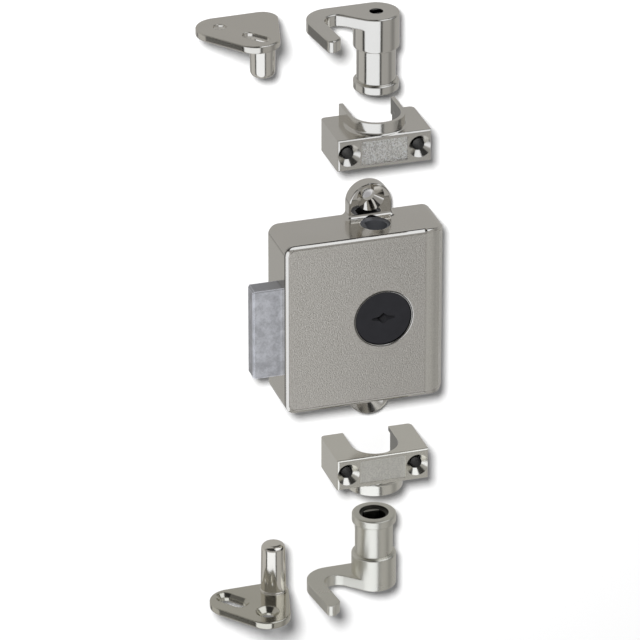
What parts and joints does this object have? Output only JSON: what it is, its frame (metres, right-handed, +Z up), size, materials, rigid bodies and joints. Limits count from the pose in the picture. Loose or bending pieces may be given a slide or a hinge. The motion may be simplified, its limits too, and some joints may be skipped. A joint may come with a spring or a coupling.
{
  "type": "cabinet rod lock",
  "caption": "Cabinet rod lock set: a case with a sliding bolt and turning rod sockets, rod guides, claw hooks that rods turn, and strike plates with pins.",
  "frame": {"origin": "on the inside face of the door, on the key axis, midway between the two screw ears", "axes": "+Y out through the door, away from the lock; +Z up along the rods; the bolt leaves towards -X"},
  "size_m": [0.0871, 0.037, 0.2218],
  "materials": {
    "case_metal": "satin nickel over zinc, fine grain on the front",
    "bright_nickel": "bright nickel plate",
    "strike_metal": "semi-bright nickel plate",
    "bolt_metal": "dull zinc grey",
    "black_plastic": "moulded, smooth",
    "inner_zinc": "bare die casting",
    "sheet_steel": "zinc plated"
  },
  "bodies": {
    "lock_case": {"case_shell": "case_metal", "back_plate": "sheet_steel", "back_plate_screws": "sheet_steel", "core_sleeve": "bright_nickel", "bolt_guide_pins": "sheet_steel", "upper_socket_bridge": "inner_zinc", "lower_socket_bridge": "inner_zinc", "detent_spring": "sheet_steel", "detent_spring_screw": "sheet_steel", "top_guide": "bright_nickel", "bottom_guide": "bright_nickel", "top_strike_plate": "strike_metal", "bottom_strike_plate": "strike_metal"},
    "rotor": {"key_rotor": "black_plastic", "rotor_circlip": "sheet_steel"},
    "bolt": {"bolt": "bolt_metal"},
    "upper_socket": {"upper_rod_socket": "inner_zinc"},
    "lower_socket": {"lower_rod_socket": "inner_zinc"},
    "top_hook": {"top_hook": "bright_nickel"},
    "bottom_hook": {"bottom_hook": "bright_nickel"}
  },
  "joints": [
    {"name": "key_turn", "type": "hinge", "parent": "lock_case", "child": "rotor", "pos_m": [0, 0, 0], "axis": [0, 1, 0], "range_deg": [0, 90]},
    {"name": "bolt_slide", "type": "slide", "parent": "lock_case", "child": "bolt", "axis": [1, 0, 0], "range_m": [0, 0.01005], "deforming": ["detent_spring"]},
    {"name": "upper_socket_turn", "type": "hinge", "parent": "lock_case", "child": "upper_socket", "pos_m": [0, -0.01, 0], "axis": [0, 0, 1], "range_deg": [-90, 0]},
    {"name": "lower_socket_turn", "type": "hinge", "parent": "lock_case", "child": "lower_socket", "pos_m": [0, -0.01, 0], "axis": [0, 0, 1], "range_deg": [-90, 0]},
    {"name": "top_hook_swing", "type": "hinge", "parent": "lock_case", "child": "top_hook", "pos_m": [0, -0.01, 0], "axis": [0, 0, 1], "range_deg": [0, 90]},
    {"name": "bottom_hook_swing", "type": "hinge", "parent": "lock_case", "child": "bottom_hook", "pos_m": [0, -0.01, 0], "axis": [0, 0, 1], "range_deg": [0, 90]}
  ],
  "couplings": [
    {"joint": "key_turn", "follows": "bolt_slide", "rad_per_m": 156.25},
    {"joint": "upper_socket_turn", "follows": "bolt_slide", "rad_per_m": -156.25},
    {"joint": "lower_socket_turn", "follows": "bolt_slide", "rad_per_m": -156.25}
  ]
}
